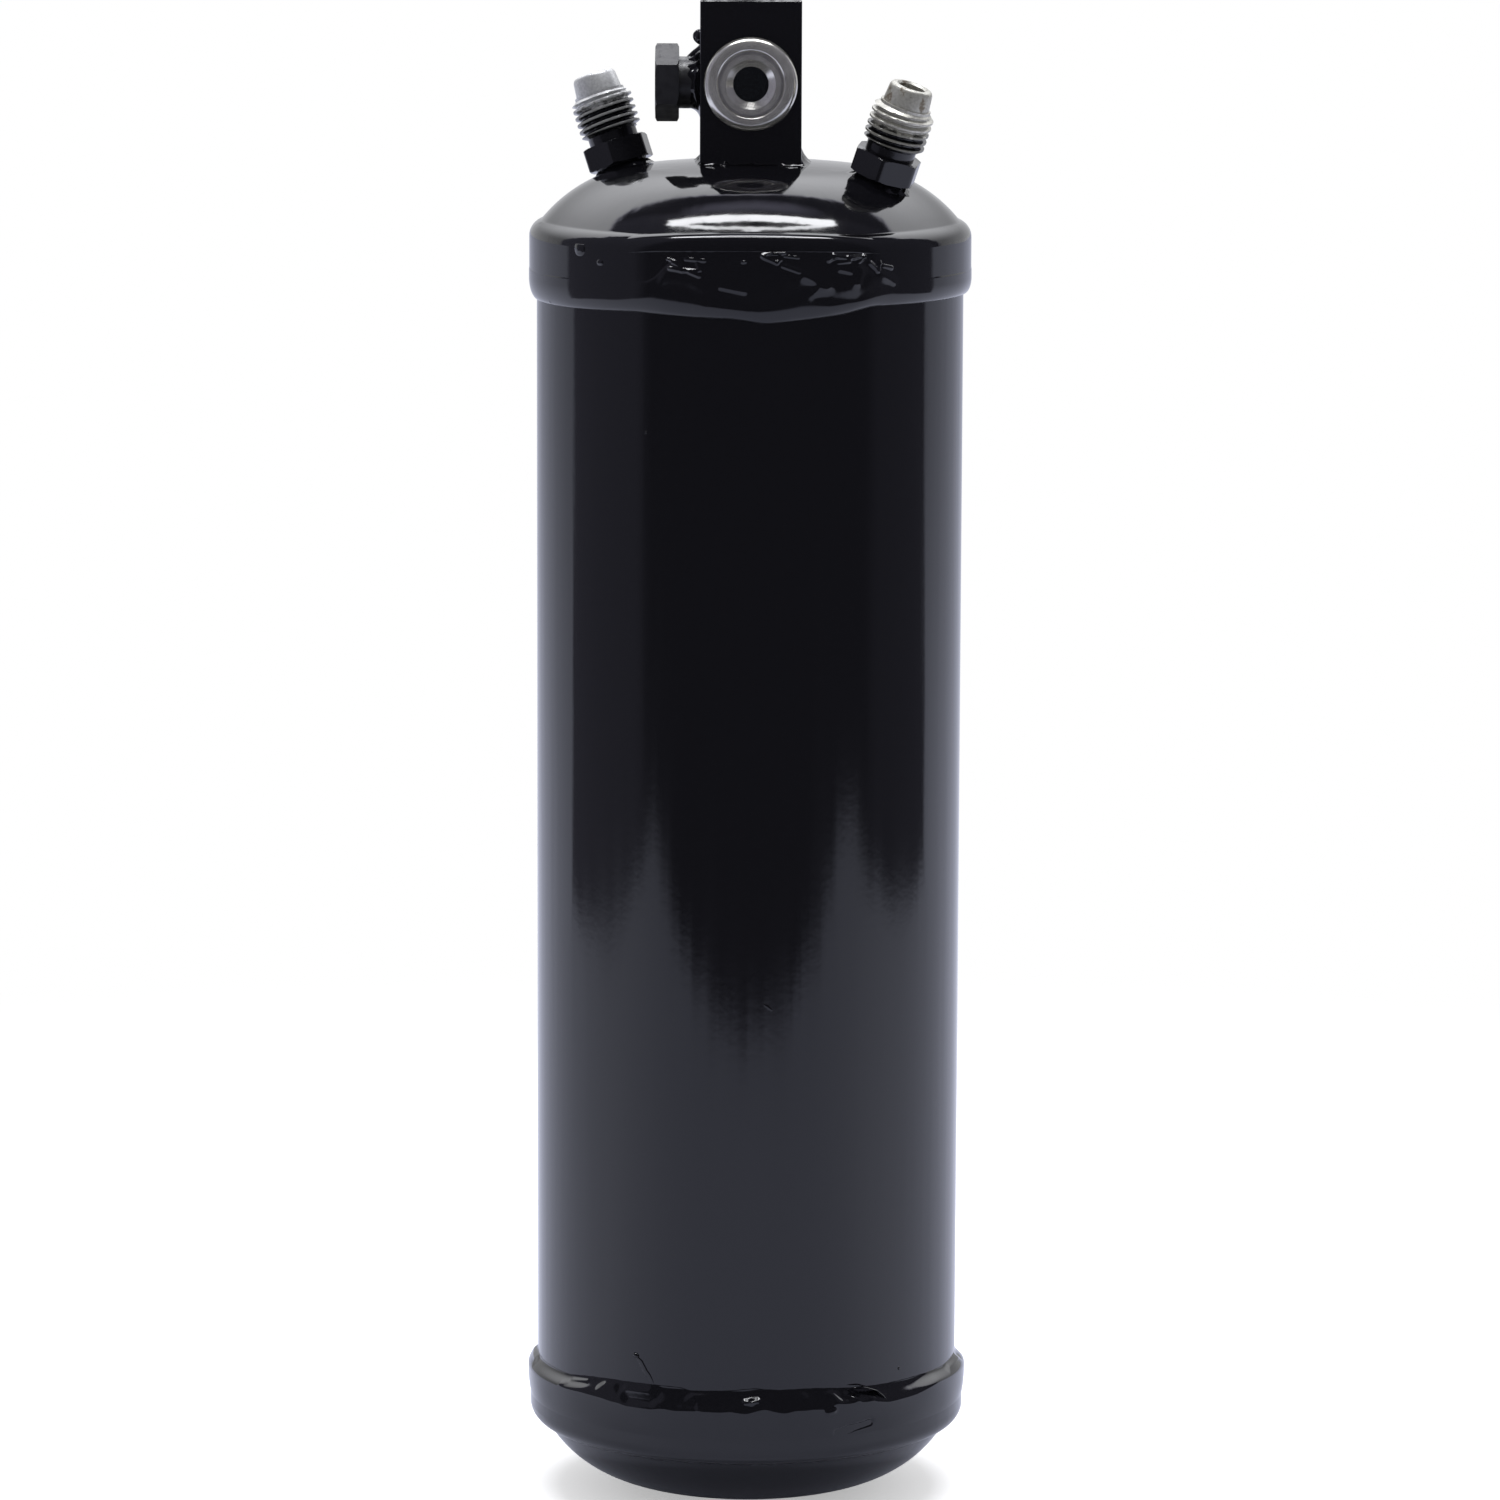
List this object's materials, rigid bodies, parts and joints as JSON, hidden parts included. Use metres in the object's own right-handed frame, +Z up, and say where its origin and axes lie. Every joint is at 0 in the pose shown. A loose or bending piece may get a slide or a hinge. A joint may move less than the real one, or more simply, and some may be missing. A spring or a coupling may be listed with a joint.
{
  "type": "filter drier",
  "caption": "Upright welded steel receiver canister with a bed of desiccant, two threaded flare fittings on its domed top and a square head block with a sight glass and a relief plug.",
  "frame": {"origin": "lowest point of the bottom dome, on the canister's axis", "axes": "+Z up the canister's axis towards the head block; -Y towards the side with the sight glass; +X to the right as seen from that side"},
  "size_m": [0.0796, 0.0796, 0.2711],
  "materials": {
    "black_enamel": "gloss black enamel over steel",
    "painted_weld": "weld metal under the same gloss black enamel",
    "fitting_steel": "black enamel, bare turned steel at the nose and first threads",
    "plated_steel": "bright zinc-nickel plating on turned steel",
    "sight_glass": "clear fused glass over a dark chamber",
    "gasket_fibre": "matt fibre",
    "fusible_alloy": "cast low-melting alloy",
    "inner_steel": "plain drawn steel",
    "spring_steel": "oiled spring wire",
    "strainer_brass": "plain turned brass",
    "felt": "needled felt",
    "desiccant": "loose beads, packed"
  },
  "bodies": {
    "root": {"shell_tube": "black_enamel", "bottom_cap": "black_enamel", "top_cap": "black_enamel", "head_block": "black_enamel", "relief_plug": "black_enamel", "top_weld_bead": "painted_weld", "bottom_weld_bead": "painted_weld", "head_block_weld": "painted_weld", "relief_plug_weld": "painted_weld", "inlet_fitting_weld": "painted_weld", "outlet_fitting_weld": "painted_weld", "inlet_fitting": "fitting_steel", "outlet_fitting": "fitting_steel", "sight_glass_body": "plated_steel", "sight_glass_lens": "sight_glass", "sight_glass_gasket": "gasket_fibre", "fusible_core": "fusible_alloy", "pickup_tube": "inner_steel", "outlet_tube": "inner_steel", "upper_plate": "inner_steel", "lower_plate": "inner_steel", "bed_spring": "spring_steel", "pickup_strainer": "strainer_brass", "upper_pad": "felt", "lower_pad": "felt", "desiccant_bed": "desiccant"}
  },
  "joints": []
}
